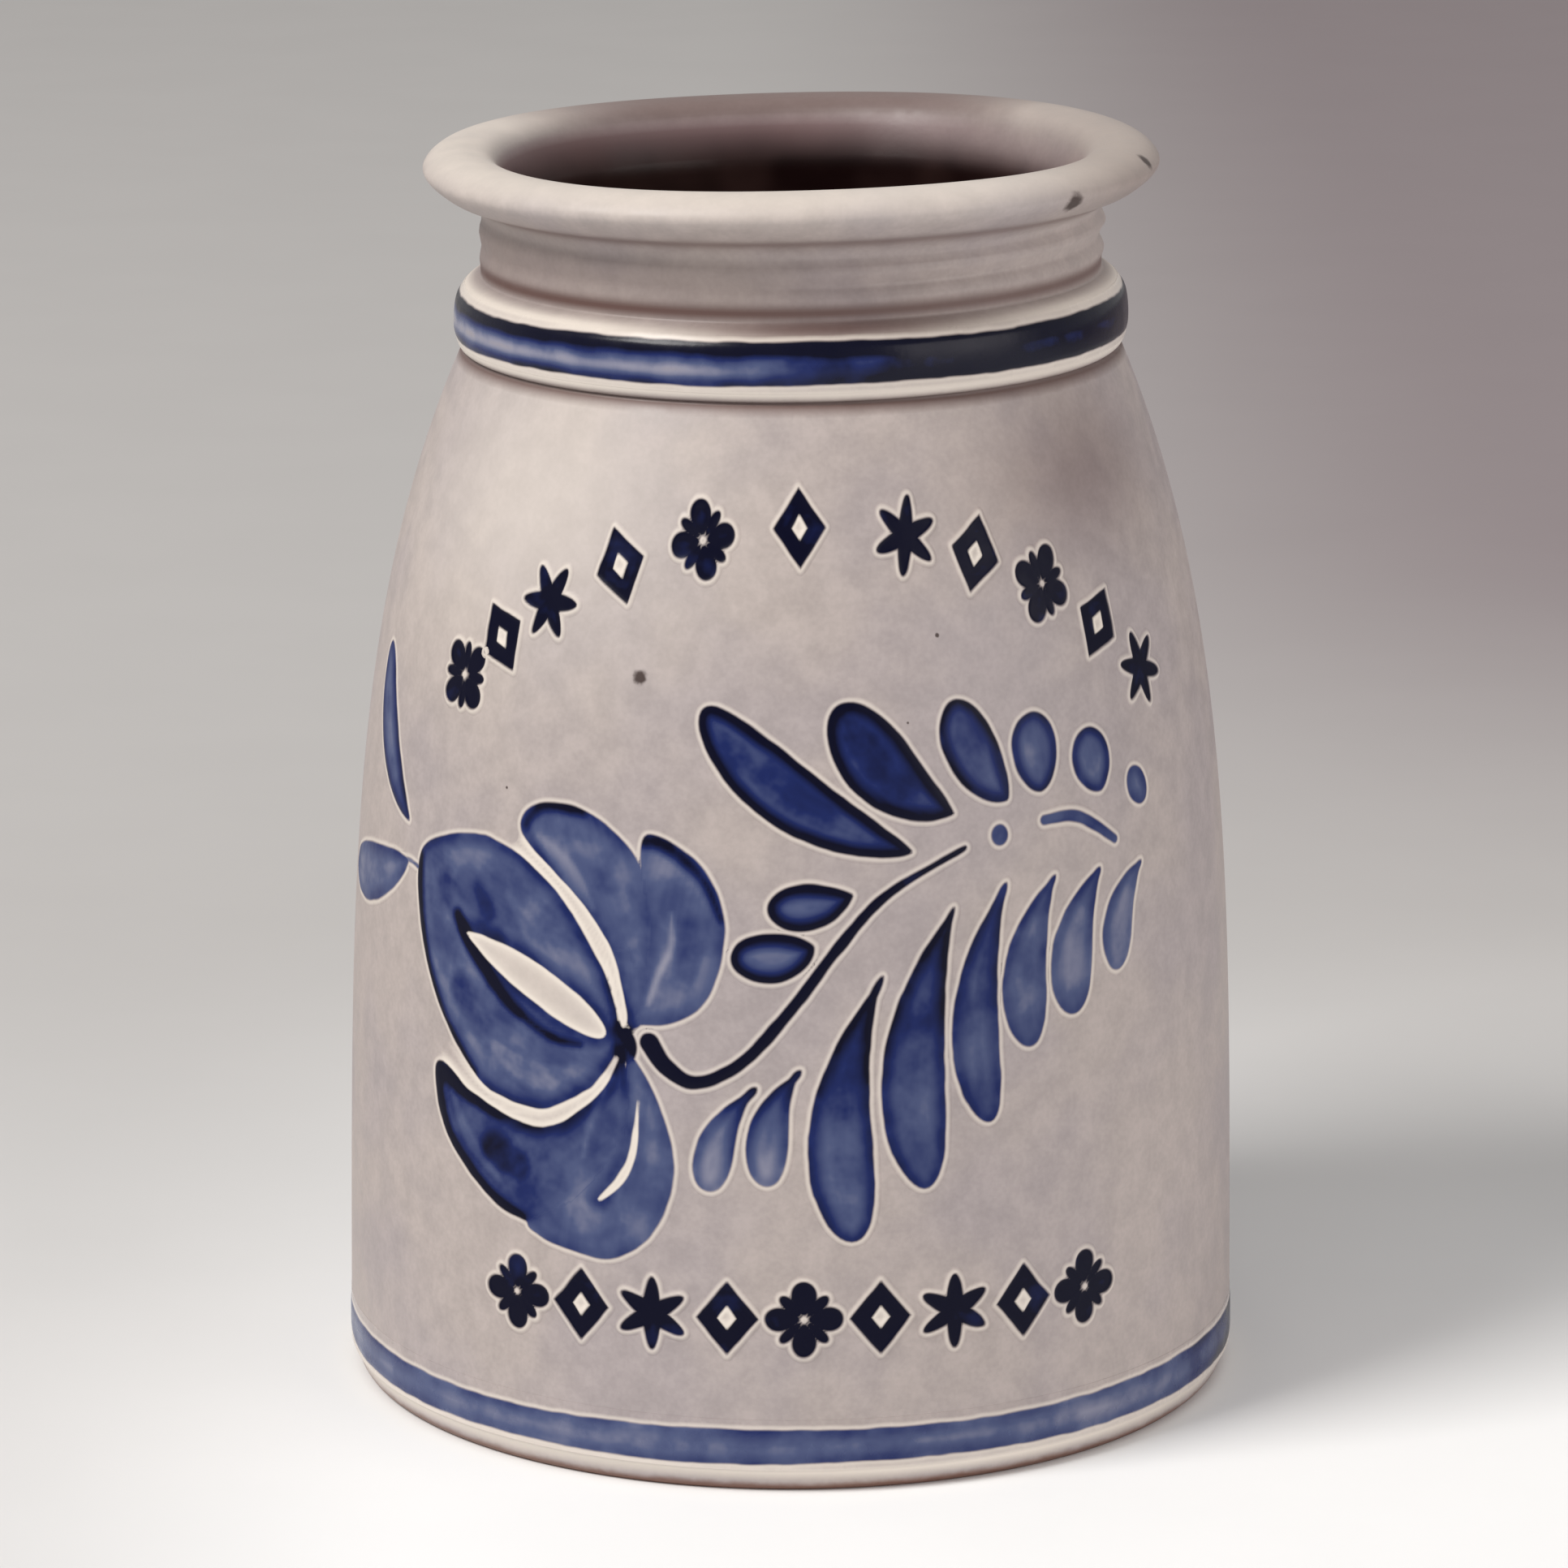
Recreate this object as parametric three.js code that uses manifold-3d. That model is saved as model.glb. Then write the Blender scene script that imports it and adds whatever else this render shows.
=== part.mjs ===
// A one-gallon ceramic crock fermenter: a thrown, salt-glazed stoneware jar with cobalt slip
// painting, and the two half-moon weights that hold the ferment under its brine.
// Millimetres, +Z up. The origin is the centre of the flat foot, and the painted front faces -Y.

import * as THREE from "three";
import { mergeVertices } from "three/addons/utils/BufferGeometryUtils.js";
import Module from "manifold-3d";

const wasm = await Module();
wasm.setup();

// ---------- driving dimensions ----------

const HEIGHT = 245;
const BELLY_RADIUS = 88.6;
const SHOULDER_HEIGHT = 205.7;
const STRAIGHT_TAPER = 2.6;
const SHOULDER_DROP = 21.8;
const SHOULDER_POWER = 4;
const FOOT_RADIUS = 85.6;
const FOOT_TOP = 5.5;
const WALL = 7;
const FLOOR = 9;
const FLOOR_CORNER = 14;
const THROAT_RADIUS = 53.5;
const SEGMENTS = 48;

const CLEARANCE = 0.3;
const SLIP_THICKNESS = 0.6;
const BASE_BAND = { low: 6, high: 13.2 };

const WEIGHT_RADIUS = 50;
const WEIGHT_THICKNESS = 20;
const WEIGHT_SPLIT = 3;
const WEIGHT_EDGE = 2;
const FINGER_NOTCH = 11;

const STEM_WIDTH = 2.4;

// ---------- colours ----------

const STONEWARE = new THREE.MeshStandardMaterial({ color: 0xb9aeac, roughness: 0.42 });
const COBALT_SLIP = new THREE.MeshStandardMaterial({ color: 0x39426f, roughness: 0.35 });
const WEIGHT_CLAY = new THREE.MeshStandardMaterial({ color: 0xc2b3a0, roughness: 0.7 });

// ---------- the wall's outline ----------

/** The outside radius of the body at a height between the foot and the shoulder groove. */
function wallRadius(z) {
  const rise = z / SHOULDER_HEIGHT;
  return BELLY_RADIUS - STRAIGHT_TAPER * rise - SHOULDER_DROP * rise ** SHOULDER_POWER;
}

/** Heights that step closer together as the shoulder curves in. */
function wallHeights(low, high, steps) {
  const heights = [];
  for (let i = 0; i <= steps; i += 1) {
    heights.push(low + (high - low) * Math.sin((i / steps) * (Math.PI / 2)));
  }
  return heights;
}

const BODY_HEIGHTS = wallHeights(FOOT_TOP, SHOULDER_HEIGHT, 13);

function point(radius, z) {
  return new THREE.Vector2(radius, z);
}

/** A smooth line through a few points, as a list of points without the first. */
function smooth(points, steps) {
  return new THREE.SplineCurve(points).getPoints(steps).slice(1);
}

/** A quarter round between two points of a section, turning about its centre. */
function quarterRound(centre, radius, from, to, steps) {
  const arc = new THREE.EllipseCurve(centre.x, centre.y, radius, radius, from, to, to < from);
  return arc.getPoints(steps);
}

const BEAD = [
  point(64.2, SHOULDER_HEIGHT),
  point(64.9, 209),
  point(65.1, 212.5),
  point(64.5, 216),
  point(60.6, 220),
];

const LIP = [
  point(60.4, 227),
  point(61, 233.6),
  point(67.5, 236.8),
  point(71.4, 240.8),
  point(68.6, 244.2),
  point(63, HEIGHT),
  point(57.6, 242.6),
  point(THROAT_RADIUS, 233),
];

// ---------- solids ----------

/** Turns a section (radius, height) once round the vertical axis. */
function turned(section) {
  const geometry = new THREE.LatheGeometry(section, SEGMENTS);
  geometry.rotateX(Math.PI / 2);
  return geometry;
}

function toSolid(geometry) {
  const bare = geometry.clone();
  bare.deleteAttribute("normal");
  bare.deleteAttribute("uv");
  const merged = mergeVertices(bare, 1e-4);
  const index = merged.index.array;
  const kept = [];
  for (let i = 0; i < index.length; i += 3) {
    const [a, b, c] = [index[i], index[i + 1], index[i + 2]];
    if (a !== b && b !== c && c !== a) {
      kept.push(a, b, c);
    }
  }
  const vertProperties = Float32Array.from(merged.attributes.position.array);
  return new wasm.Manifold(new wasm.Mesh({ numProp: 3, vertProperties, triVerts: Uint32Array.from(kept) }));
}

function toGeometry(solid) {
  const mesh = solid.getMesh();
  const geometry = new THREE.BufferGeometry();
  geometry.setAttribute("position", new THREE.BufferAttribute(Float32Array.from(mesh.vertProperties), 3));
  geometry.setIndex(Array.from(mesh.triVerts));
  geometry.computeVertexNormals();
  return geometry;
}

function named(name, geometry, material) {
  const mesh = new THREE.Mesh(geometry, material);
  mesh.name = name;
  return mesh;
}

// ---------- the crock ----------

function crockSection() {
  const outside = BODY_HEIGHTS.slice(0, -1).map((z) => point(wallRadius(z), z));
  const cornerCentre = point(wallRadius(FLOOR + FLOOR_CORNER) - WALL - FLOOR_CORNER, FLOOR + FLOOR_CORNER);
  const innerTop = SHOULDER_HEIGHT - 6;
  const innerHeights = wallHeights(FLOOR + FLOOR_CORNER, innerTop, 9).slice(1).reverse();
  return [
    point(0, 0),
    point(FOOT_RADIUS, 0),
    point(FOOT_RADIUS + 1.3, 1.2),
    point(FOOT_RADIUS + 1.9, 3.4),
    ...outside,
    BEAD[0],
    ...smooth(BEAD, 8),
    LIP[0],
    ...smooth(LIP, 15),
    point(THROAT_RADIUS, 214),
    point(THROAT_RADIUS + 1.2, 207),
    ...innerHeights.map((z) => point(wallRadius(z) - WALL, z)),
    ...quarterRound(cornerCentre, FLOOR_CORNER, 0, -Math.PI / 2, 4),
    point(0, FLOOR),
  ];
}

// ---------- cobalt slip ----------

/** A closed ring of slip lying just off a run of the crock's outside. */
function slipRing(run) {
  const near = run.map((p) => point(p.x + CLEARANCE, p.y));
  const crown = run.slice(1, -1).map((p) => point(p.x + CLEARANCE + SLIP_THICKNESS, p.y));
  return [...near.slice().reverse(), ...crown, near[near.length - 1]];
}

/** The skin that every brush stroke is cut from, with the same facets as the wall under it. */
function slipSkin() {
  const covered = BODY_HEIGHTS.slice(0, -1);
  const near = covered.map((z) => point(wallRadius(z) + CLEARANCE, z));
  const far = covered.map((z) => point(wallRadius(z) + CLEARANCE + SLIP_THICKNESS, z));
  return toSolid(turned([...far, ...near.reverse(), far[0]]));
}

const SKIN = slipSkin();

/** Bends a flat outline round the axis into a wedge that passes through the skin. */
function wedge(outline) {
  const nearest = 50;
  const depth = 60;
  const geometry = new THREE.ExtrudeGeometry(new THREE.Shape(outline), { depth, bevelEnabled: false });
  const position = geometry.attributes.position;
  for (let i = 0; i < position.count; i += 1) {
    const turn = position.getX(i) / BELLY_RADIUS;
    const radius = nearest + position.getZ(i);
    const height = position.getY(i);
    position.setXYZ(i, radius * Math.sin(turn), -radius * Math.cos(turn), height);
  }
  return toSolid(geometry);
}

/** The strokes are drawn on the unrolled wall: across is the arc from the front, up is the height. */
function at(across, up) {
  return new THREE.Vector2(across, up);
}

/**
 * A pressed brush mark: pointed where the brush lands, round where it lifts, and widest at belly.
 * The middle line bows sideways by bow, to the left of the way from tip to end.
 */
function brushLeaf({ tip, end, width, bow, belly }) {
  const along = end.clone().sub(tip);
  const side = new THREE.Vector2(-along.y, along.x).normalize();
  const middle = tip.clone().add(end).multiplyScalar(0.5).addScaledVector(side, 2 * bow);
  const line = new THREE.QuadraticBezierCurve(tip, middle, end);
  const round = 0.5;
  const sharp = (round * belly) / (1 - belly);
  const left = [];
  const right = [];
  const steps = 9;
  for (let i = 1; i < steps; i += 1) {
    const t = 0.5 - 0.5 * Math.cos((Math.PI * i) / steps);
    const half = (width / 2) * (t / belly) ** sharp * ((1 - t) / (1 - belly)) ** round;
    const centre = line.getPoint(t);
    const tangent = line.getTangent(t);
    left.push(at(centre.x - tangent.y * half, centre.y + tangent.x * half));
    right.push(at(centre.x + tangent.y * half, centre.y - tangent.x * half));
  }
  return [tip, ...right, end, ...left.reverse()];
}

/** A line drawn with one even pressure along a smooth path. */
function brushLine(path, width, steps) {
  const curve = new THREE.SplineCurve(path);
  const left = [];
  const right = [];
  for (let i = 0; i <= steps; i += 1) {
    const t = i / steps;
    const centre = curve.getPoint(t);
    const tangent = curve.getTangent(t);
    const half = (width / 2) * (i === steps ? 0.3 : 1);
    left.push(at(centre.x - tangent.y * half, centre.y + tangent.x * half));
    right.push(at(centre.x + tangent.y * half, centre.y - tangent.x * half));
  }
  return [...right, ...left.reverse()];
}

function closedCurve(points, steps) {
  return new THREE.SplineCurve([...points, points[0]]).getPoints(steps).slice(0, -1);
}

const FRONT_PETAL = [
  at(-33, 87), at(-37, 100), at(-49, 115), at(-66, 122), at(-84, 118),
  at(-88, 110), at(-82, 92), at(-68, 76), at(-54, 71), at(-41, 76),
];
const PETAL_WINDOW = { tip: at(-37, 88.5), end: at(-69, 102.5), width: 7.5, bow: 2, belly: 0.5 };
const TALL_PETAL = [
  at(-31, 88), at(-34, 100), at(-44, 114), at(-57, 124), at(-54, 130), at(-42, 130), at(-30, 121), at(-27, 104),
];
const RIGHT_PETAL = [
  at(-32, 91), at(-28, 104), at(-30, 123), at(-27, 127), at(-17, 121), at(-12.8, 110), at(-16, 97), at(-23, 91.5),
];
const LOW_PETAL = [
  at(-33, 85), at(-38, 75), at(-50, 67), at(-65, 70), at(-78.5, 75.5), at(-80, 68), at(-71, 56.5),
  at(-57, 49.5), at(-42, 44.5), at(-29, 49), at(-23, 61), at(-27, 78),
];

const HEART = { tip: at(-30.5, 83), end: at(-34.5, 91.5), width: 6.5, bow: 0, belly: 0.5 };

/** The petals run together at the heart, and thin unpainted lines part them further out. */
function flower() {
  const front = wedge(closedCurve(FRONT_PETAL, 36)).subtract(wedge(brushLeaf(PETAL_WINDOW)));
  const others = [TALL_PETAL, RIGHT_PETAL, LOW_PETAL].map((petal) => wedge(closedCurve(petal, 30)));
  const petals = others.reduce((sum, petal) => sum.add(petal), front);
  return petals.add(wedge(brushLeaf(HEART))).intersect(SKIN);
}

const STEM_PATH = [
  at(-27.5, 87), at(-24, 83), at(-18, 80.5), at(-9, 85), at(0, 95), at(9, 106.5), at(19, 116.5), at(35, 124),
];

const BERRIES = [
  { tip: at(4.5, 107), end: at(-11.5, 105.5), width: 9.5, bow: 1.5, belly: 0.55 },
  { tip: at(12, 116.5), end: at(-4.5, 114.5), width: 8.5, bow: 1, belly: 0.6 },
];

const UPPER_LEAVES = [
  { tip: at(24, 124), end: at(-18, 151), width: 12, bow: 3.8, belly: 0.6 },
  { tip: at(33, 130.5), end: at(10, 152), width: 14, bow: 3.2, belly: 0.62 },
  { tip: at(45, 132), end: at(34, 151.5), width: 11.5, bow: 1.6, belly: 0.58 },
  { tip: at(53, 132.5), end: at(51.5, 147.5), width: 11, bow: 0, belly: 0.55 },
  { tip: at(69, 130.5), end: at(65, 142.5), width: 9.5, bow: 0, belly: 0.55 },
];

const HANGING_LEAVES = [
  { tip: at(-6.5, 80), end: at(-15.5, 59.5), width: 7.5, bow: -2.5, belly: 0.72 },
  { tip: at(2, 84), end: at(-4, 61), width: 8, bow: -3, belly: 0.68 },
  { tip: at(17, 101), end: at(12.5, 50), width: 12.5, bow: -5.5, belly: 0.7 },
  { tip: at(32, 113), end: at(27.5, 59.5), width: 13, bow: -5.5, belly: 0.66 },
  { tip: at(43, 116), end: at(39, 71), width: 10.5, bow: -5, belly: 0.66 },
  { tip: at(56, 116), end: at(49, 84.5), width: 10, bow: -4.5, belly: 0.66 },
  { tip: at(67, 116), end: at(59.5, 89), width: 10.5, bow: -4, belly: 0.66 },
  { tip: at(80, 115), end: at(71.5, 95.5), width: 8.5, bow: -3.5, belly: 0.66 },
];

const SIDE_LEAVES = [
  { tip: at(-93, 120), end: at(-114, 151), width: 9.5, bow: 3.5, belly: 0.6 },
  { tip: at(-92, 112.5), end: at(-128, 104), width: 11.5, bow: 2, belly: 0.6 },
];

function painted(name, outline) {
  return named(name, toGeometry(wedge(outline).intersect(SKIN)), COBALT_SLIP);
}

function slipPainting() {
  const group = new THREE.Group();
  group.add(named("flower_slip", toGeometry(flower()), COBALT_SLIP));
  group.add(painted("stem_slip", brushLine(STEM_PATH, STEM_WIDTH, 20)));
  const sprays = { berry: BERRIES, upper_leaf: UPPER_LEAVES, hanging_leaf: HANGING_LEAVES, side_leaf: SIDE_LEAVES };
  for (const [kind, leaves] of Object.entries(sprays)) {
    leaves.forEach((leaf, i) => group.add(painted(`${kind}_slip_${i + 1}`, brushLeaf(leaf))));
  }
  const baseHeights = wallHeights(BASE_BAND.low, BASE_BAND.high, 3);
  const base = slipRing(baseHeights.map((z) => point(wallRadius(z), z)));
  group.add(named("base_band_slip", turned(base), COBALT_SLIP));
  const bead = slipRing(smooth(BEAD, 8).slice(2, 7));
  group.add(named("shoulder_band_slip", turned(bead), COBALT_SLIP));
  return group;
}

// ---------- the weights ----------

/** Half of a disc, with half of the finger hole in the middle of its straight edge. */
function halfMoon() {
  const edge = WEIGHT_SPLIT / 2 + WEIGHT_EDGE;
  const radius = WEIGHT_RADIUS - WEIGHT_EDGE;
  const notch = FINGER_NOTCH + WEIGHT_EDGE;
  const shape = new THREE.Shape();
  const rim = Math.acos(edge / radius);
  const bite = Math.acos(edge / notch);
  shape.absarc(0, 0, radius, -rim, rim, false);
  shape.absarc(0, 0, notch, bite, -bite, true);
  shape.closePath();
  const geometry = new THREE.ExtrudeGeometry(shape, {
    depth: WEIGHT_THICKNESS - 2 * WEIGHT_EDGE,
    curveSegments: 14,
    bevelSize: WEIGHT_EDGE,
    bevelThickness: WEIGHT_EDGE,
    bevelSegments: 2,
  });
  geometry.translate(0, 0, WEIGHT_EDGE);
  return geometry;
}

function weights() {
  const group = new THREE.Group();
  group.position.z = FLOOR + CLEARANCE;
  const right = named("weight_right", halfMoon(), WEIGHT_CLAY);
  const left = named("weight_left", halfMoon(), WEIGHT_CLAY);
  left.rotation.z = Math.PI;
  group.add(right, left);
  return group;
}

// ---------- the assembly ----------

const crockFermenter = new THREE.Group();
crockFermenter.add(named("crock_vessel", turned(crockSection()), STONEWARE));
crockFermenter.add(slipPainting());
crockFermenter.add(weights());

export default crockFermenter;
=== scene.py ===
"""The looks of a one-gallon salt-glazed stoneware crock fermenter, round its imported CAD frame.

Every length that has no unit property is in millimetres and is turned to metres where a vertex is
placed. The crock stands on z = 0 with its axis on z, and its painted front faces -Y. A place on the
wall is (across, up): the arc from the middle of the front at the belly's radius, and the height.
"""

import math

import bmesh
import bpy
import numpy as np
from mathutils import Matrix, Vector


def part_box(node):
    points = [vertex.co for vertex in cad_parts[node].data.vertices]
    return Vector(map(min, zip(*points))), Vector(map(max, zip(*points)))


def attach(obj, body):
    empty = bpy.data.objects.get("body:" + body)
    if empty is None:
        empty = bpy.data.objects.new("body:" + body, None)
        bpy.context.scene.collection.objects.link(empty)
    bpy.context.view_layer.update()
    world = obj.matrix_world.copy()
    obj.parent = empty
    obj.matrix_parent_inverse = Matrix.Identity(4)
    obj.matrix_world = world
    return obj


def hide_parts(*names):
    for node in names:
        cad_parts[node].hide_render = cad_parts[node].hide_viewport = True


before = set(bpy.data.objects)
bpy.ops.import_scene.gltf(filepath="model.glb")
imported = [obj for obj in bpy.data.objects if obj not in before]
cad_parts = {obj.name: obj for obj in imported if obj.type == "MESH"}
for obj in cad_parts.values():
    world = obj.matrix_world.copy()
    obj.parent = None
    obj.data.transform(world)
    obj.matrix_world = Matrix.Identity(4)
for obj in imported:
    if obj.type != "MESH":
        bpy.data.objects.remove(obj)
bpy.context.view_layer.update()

bl_info = {
    "name": "Stoneware crock fermenter",
    "version": (1, 0, 0),
    "blender": (4, 5, 0),
    "location": "3D View > Sidebar > Crock",
    "description": "A salt-glazed crock with brushed cobalt painting and two half-moon weights",
    "category": "Object",
}

MM = 0.001
VESSEL_LOW, VESSEL_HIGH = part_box("crock_vessel")
WEIGHT_LOW, WEIGHT_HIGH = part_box("weight_right")
BASE_BAND_LOW, BASE_BAND_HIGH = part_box("base_band_slip")

# The wall's outline, as turned: a slight straight taper and a shoulder that drops in faster and faster.
SHOULDER_HEIGHT = 205.7
STRAIGHT_TAPER = 2.6
SHOULDER_DROP = 21.8
FOOT_TOP = 5.5
HEIGHT = round(VESSEL_HIGH.z / MM)
BELLY_RADIUS = VESSEL_HIGH.x / MM + STRAIGHT_TAPER * FOOT_TOP / SHOULDER_HEIGHT
FOOT_RADIUS = BELLY_RADIUS - 3
WALL = 7
FLOOR = 9
FLOOR_CORNER = 14
THROAT_RADIUS = 53.5
TURN_STEPS = 216


# ---------- colours ----------

def linear(hex_colour):
    """A linear colour from an sRGB hex value, as #RRGGBB."""
    channels = [int(hex_colour[i:i + 2], 16) / 255 for i in (1, 3, 5)]
    return [c / 12.92 if c <= 0.04045 else ((c + 0.055) / 1.055) ** 2.4 for c in channels] + [1.0]


def colour_property(name, description, hex_colour):
    return bpy.props.FloatVectorProperty(
        name=name, description=description, default=linear(hex_colour), size=4, min=0, max=1, subtype="COLOR"
    )


def length_property(name, description, millimetres):
    return bpy.props.FloatProperty(
        name=name, description=description, default=millimetres * MM, min=0, unit="LENGTH", precision=4
    )


class CrockSizes(bpy.types.PropertyGroup):
    """Sizes that a potter would change."""

    rim_tilt: bpy.props.FloatProperty(
        name="Rim tilt", description="How far the rim leans to the left",
        default=math.radians(0.9), subtype="ANGLE",
    )
    ovality: length_property("Ovality", "How far the wall is out of round", 0.3)
    ridge_depth: length_property("Throwing ridges", "How far the finger ridges stand out on the neck", 0.9)
    slip_relief: length_property("Slip relief", "How far a brush stroke stands above the wall", 0.14)
    stamp_burr: length_property("Stamp burr", "How far the clay is pushed up beside a stamp", 0.3)
    weight_edge: length_property("Weight edge", "Radius of the rounded edges of the weights", 2.5)


class CrockColours(bpy.types.PropertyGroup):
    """Glaze, slip and clay colours."""

    clay_warm: colour_property("Warm clay", "Body where the fire was cleanest", "#AFA4A0")
    clay_cool: colour_property("Cool clay", "Body where the glaze is thicker", "#A69C9C")
    # Pale clay also gives the painted highlight on the tops of the lip and the bead, and the painted sheen on
    # the left shoulder.
    pale_clay_and_highlight: colour_property("Pale clay", "Where the glaze runs thin over an edge", "#E9E0D5")
    # Brown for glaze pooled in the grooves, and also the painted shade under the lip, above the bead, on the
    # neck, on the lip's right and on the right shoulder.
    pooled_glaze_and_shade: colour_property("Groove", "Where the glaze pools brown in a groove", "#5E4540")
    # Painted contact shade at the bottom of the foot, where it meets the floor.
    foot_contact_shade: colour_property("Toasted clay", "Bare clay at the foot", "#6E442F")
    iron: colour_property("Iron", "Spots where iron bled through", "#2E1A14")
    liner: colour_property("Liner", "Slip inside the mouth, where it is thin", "#8A7172")
    # The deep liner is brown slip and also painted shade: near black deeper inside the crock.
    liner_deep_and_shade: colour_property("Deep liner", "Slip inside the crock, where it is thick", "#180B0B")
    cobalt_thin: colour_property("Thin cobalt", "Slip brushed out to a wash", "#86879A")
    cobalt_mid: colour_property("Middling cobalt", "Slip of one brush load", "#4B5579")
    cobalt_deep: colour_property("Deep cobalt", "Slip where the brush landed full", "#18255A")
    cobalt_black: colour_property("Pooled cobalt", "Slip where it pooled", "#01021C")
    weight_clay: colour_property("Weight clay", "Unglazed buff stoneware", "#C4B299")
    paper_front: colour_property("Paper, front", "Backdrop paper nearest the lens", "#F8F9FA")
    # The paper's grey behind and its darker grey at the far right are painted light falloff and painted
    # shade.
    paper_back_shade: colour_property("Paper, back", "Backdrop paper behind, at the left", "#BFBDBC")
    paper_far_right_shade: colour_property("Paper, far right", "Backdrop paper behind, at the right", "#978D90")


# ---------- form ----------

def smoothstep(low, high, value):
    t = np.clip((value - low) / (high - low), 0, 1)
    return t * t * (3 - 2 * t)


def round_places(points):
    """The turn from the front, the radius and the height of each point."""
    x, y, up = points.T
    return np.arctan2(x, -y), np.hypot(x, y), up


def wall_radius(up):
    rise = np.asarray(up, float) / SHOULDER_HEIGHT
    return BELLY_RADIUS - STRAIGHT_TAPER * rise - SHOULDER_DROP * rise**4


def smooth_line(points, steps):
    """Catmull-Rom through the points, ends held."""
    p = np.array(points, float)
    p = np.vstack([p[:1], p, p[-1:]])
    place = np.linspace(0, len(points) - 1, steps + 1)
    i = np.minimum(place.astype(int), len(points) - 2)
    t = (place - i)[:, None]
    before, start, end, after = p[i], p[i + 1], p[i + 2], p[i + 3]
    leave, arrive = (end - before) / 2, (after - start) / 2
    return (
        (2 * start - 2 * end + leave + arrive) * t**3
        + (3 * end - 3 * start - 2 * leave - arrive) * t**2
        + leave * t
        + start
    )


NECK_RIDGES = [
    (234.0, 0.6, 0.7), (231.6, -0.9, 0.8), (229.2, 1.0, 0.9), (226.2, -0.8, 0.9), (223.6, 0.5, 0.9),
]
NECK_RADII = (58, 63)


def out_of_true(points):
    """What throwing and drying do: finger ridges on the neck, a little oval and a leaning rim."""
    sizes = bpy.context.scene.crock_sizes
    x, y, z = points.T
    turn, radius, _ = round_places(points)
    oval = sizes.ovality / MM * (0.3 + 0.7 * z / HEIGHT)
    swell = 1 + oval * (np.sin(2 * turn + 0.7) + 0.4 * np.sin(3 * turn + 2.1)) / BELLY_RADIUS
    on_neck = (radius > NECK_RADII[0]) & (radius < NECK_RADII[1]) & (z > 220)
    drift = 0.5 * np.sin(turn + 0.6)
    on_right = 0.35 + 0.65 * smoothstep(-0.35, 0.25, np.sin(turn - 0.1))
    for height, strength, width in NECK_RIDGES:
        near = np.exp(-(((z - height - drift) / width) ** 2)) * on_neck
        depth = sizes.ridge_depth / MM * strength * on_right
        swell += depth * near / np.maximum(radius, 1)
    lean = math.tan(sizes.rim_tilt) * x * smoothstep(150, HEIGHT, z)
    wave = 0.35 * np.sin(3 * turn + 1.0) * smoothstep(225, HEIGHT, z)
    return np.column_stack([x * swell, y * swell, z + lean + wave])


def place(bm, points):
    """Moves every vertex to its place in metres, after the clay has moved out of true."""
    for vert, co in zip(bm.verts, out_of_true(np.asarray(points, float)) * MM):
        vert.co = co


def finish_piece(name, bm, material, body, nodes=()):
    """Turns a bmesh into a smooth-shaded piece that rides on a CAD body."""
    mesh = bpy.data.meshes.new(name)
    bm.to_mesh(mesh)
    bm.free()
    mesh.shade_smooth()
    mesh.materials.append(material)
    piece = bpy.data.objects.new(name, mesh)
    bpy.context.scene.collection.objects.link(piece)
    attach(piece, body)
    if nodes:
        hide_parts(*nodes)
    return piece


def spun(section, steps):
    """A bmesh turned once round the z axis from a section of (radius, height) in millimetres."""
    bm = bmesh.new()
    line = [bm.verts.new((r, 0, z)) for r, z in section]
    edges = [bm.edges.new(pair) for pair in zip(line, line[1:])]
    bmesh.ops.spin(
        bm, geom=line + edges, cent=(0, 0, 0), axis=(0, 0, 1), angle=2 * math.pi, steps=steps, use_merge=True
    )
    poles = [v for v in bm.verts if math.hypot(v.co.x, v.co.y) < 1e-3]
    bmesh.ops.remove_doubles(bm, verts=poles, dist=1e-3)
    bmesh.ops.recalc_face_normals(bm, faces=bm.faces)
    return bm


def where(bm):
    return np.array([v.co for v in bm.verts])


def store(bm, name, values):
    """Keeps one number on each vertex for the material to read."""
    layer = bm.verts.layers.float.new(name)
    for vert, value in zip(bm.verts, values):
        vert[layer] = float(value)


# ---------- brush strokes on the unrolled wall ----------

def depth_inside(points, outline):
    """How far each point lies inside a closed outline, negative outside it."""
    start = np.asarray(outline, float)
    end = np.roll(start, -1, axis=0)
    along = end - start
    offset = points[:, None, :] - start[None]
    share = np.clip((offset * along).sum(-1) / np.maximum((along**2).sum(-1), 1e-9), 0, 1)
    reach = np.linalg.norm(offset - share[..., None] * along, axis=-1).min(1)
    above = (start[:, 1] > points[:, 1:]) != (end[:, 1] > points[:, 1:])
    slope = np.where(np.abs(along[:, 1]) < 1e-9, 1e-9, along[:, 1])
    crossing = start[:, 0] + (points[:, 1:] - start[:, 1]) * along[:, 0] / slope
    inside = (above & (points[:, :1] < crossing)).sum(1) % 2 == 1
    return np.where(inside, reach, -reach)


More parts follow.
